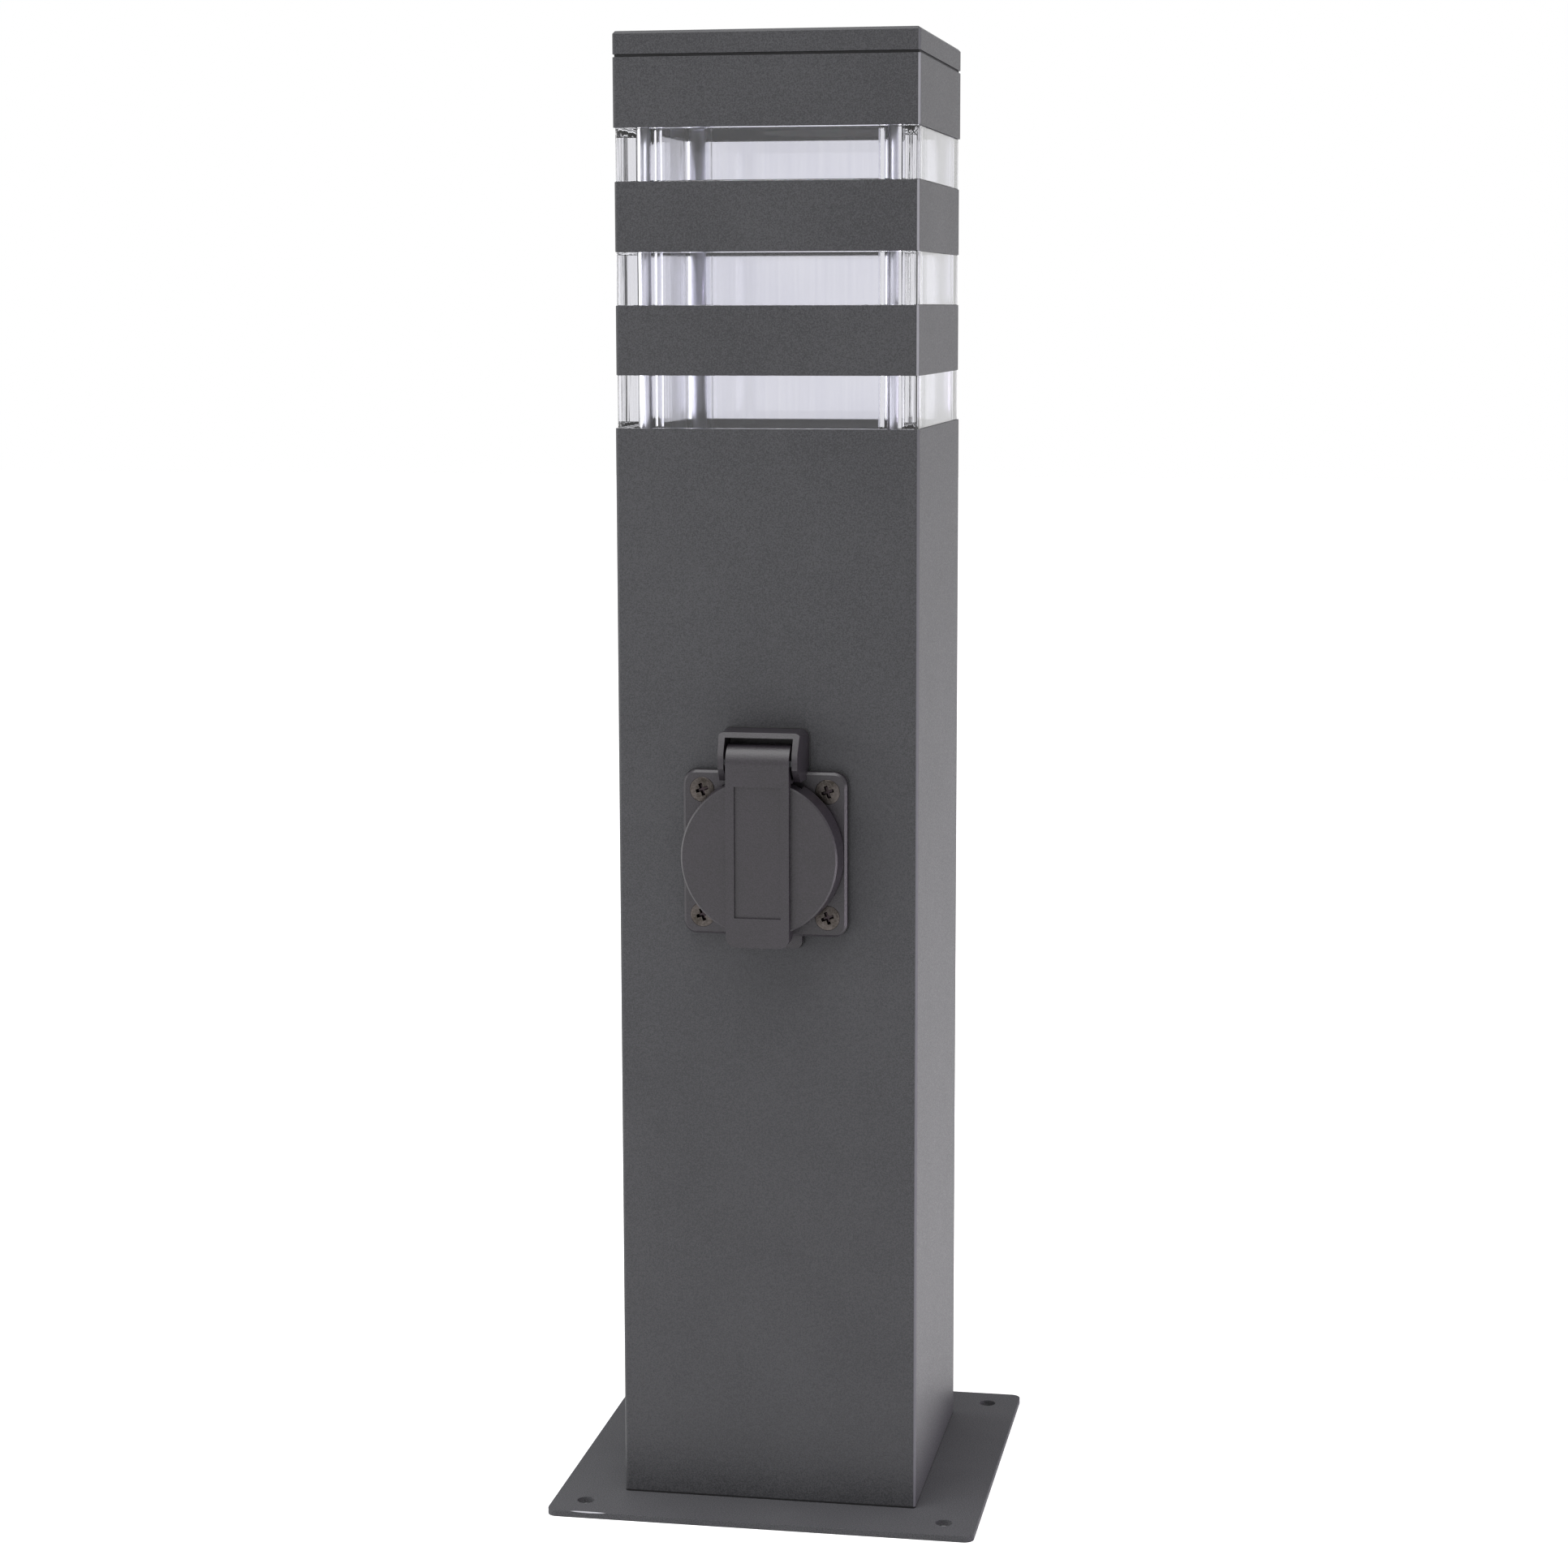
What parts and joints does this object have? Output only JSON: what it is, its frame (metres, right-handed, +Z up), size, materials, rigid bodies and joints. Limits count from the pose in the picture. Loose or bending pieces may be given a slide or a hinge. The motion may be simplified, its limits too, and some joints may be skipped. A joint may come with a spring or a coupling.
{
  "type": "garden lamp post with socket",
  "caption": "Low square garden post with a see-through lamp head between metal bands and a flush outdoor socket with a spring-closed hinged lid on its front.",
  "frame": {"origin": "middle of the base plate's underside, on the ground", "axes": "+Z up along the post, -Y out of the front face with the socket, +X to the right seen from the front"},
  "size_m": [0.13, 0.13, 0.441],
  "materials": {
    "powder_coated_metal": "fine-textured anthracite powder coat on steel sheet",
    "clear_plastic": "clear polycarbonate, polished",
    "bare_steel": "welded mild steel under the coat",
    "polished_steel": "bright stainless steel",
    "zinc_plated_steel": "dull yellow zinc plate",
    "rivet_aluminium": "blind rivets, plain",
    "bare_aluminium": "turned",
    "opal_plastic": "opal, even",
    "white_board": "white solder mask on an aluminium core",
    "led_phosphor": "yellow phosphor",
    "black_rubber": "soft, matte",
    "socket_plastic": "moulded, matte anthracite",
    "black_plastic": "moulded, matte",
    "contact_brass": "plain",
    "grey_plastic": "moulded, matte grey",
    "white_plastic": "moulded, off-white",
    "brown_insulation": "cable insulation",
    "green_insulation": "cable insulation, green with a yellow stripe",
    "blue_insulation": "cable insulation"
  },
  "bodies": {
    "post": {"base_plate": "powder_coated_metal", "post_tube": "powder_coated_metal", "head_tray": "powder_coated_metal", "band_lower": "powder_coated_metal", "band_upper": "powder_coated_metal", "head_housing": "powder_coated_metal", "top_cap": "powder_coated_metal", "clear_ring_lower": "clear_plastic", "clear_ring_middle": "clear_plastic", "clear_ring_upper": "clear_plastic", "foot_welds": "bare_steel", "corner_gussets": "bare_steel", "tie_rods": "polished_steel", "hollow_tie_rod": "polished_steel", "tie_nuts": "polished_steel", "tie_washers": "polished_steel", "hinge_pin": "polished_steel", "lid_spring": "polished_steel", "board_screws": "polished_steel", "spreader_screws": "polished_steel", "junction_screws": "polished_steel", "cap_screws": "polished_steel", "socket_screws": "zinc_plated_steel", "socket_nuts": "zinc_plated_steel", "centre_screw": "zinc_plated_steel", "earth_stud": "zinc_plated_steel", "earth_nut": "zinc_plated_steel", "driver_rivets": "rivet_aluminium", "box_rivets": "rivet_aluminium", "heat_spreader": "bare_aluminium", "diffuser": "opal_plastic", "led_board": "white_board", "led_chips": "led_phosphor", "cap_seal": "black_rubber", "socket_gasket": "black_rubber", "socket_frame": "socket_plastic", "contact_block": "black_plastic", "back_cover": "black_plastic", "supply_gland": "black_plastic", "lead_glands": "black_plastic", "contact_sleeves": "contact_brass", "earth_clip": "contact_brass", "terminal_screws": "contact_brass", "junction_box": "grey_plastic", "junction_lid": "grey_plastic", "led_driver": "white_plastic", "terminal_block": "white_plastic", "driver_lead": "white_plastic", "lamp_lead": "white_plastic", "lead_live": "brown_insulation", "lead_earth": "green_insulation", "lead_neutral": "blue_insulation"},
    "lid": {"socket_lid": "socket_plastic", "lid_seal": "black_rubber"}
  },
  "joints": [
    {"name": "lid_hinge", "type": "hinge", "parent": "post", "child": "lid", "pos_m": [0, -0.0553, 0.2302], "axis": [-1, 0, 0], "range_deg": [0, 110], "stiffness_Nm_per_rad": 0.01, "springref_deg": -28.65, "deforming": ["lid_spring"]}
  ]
}
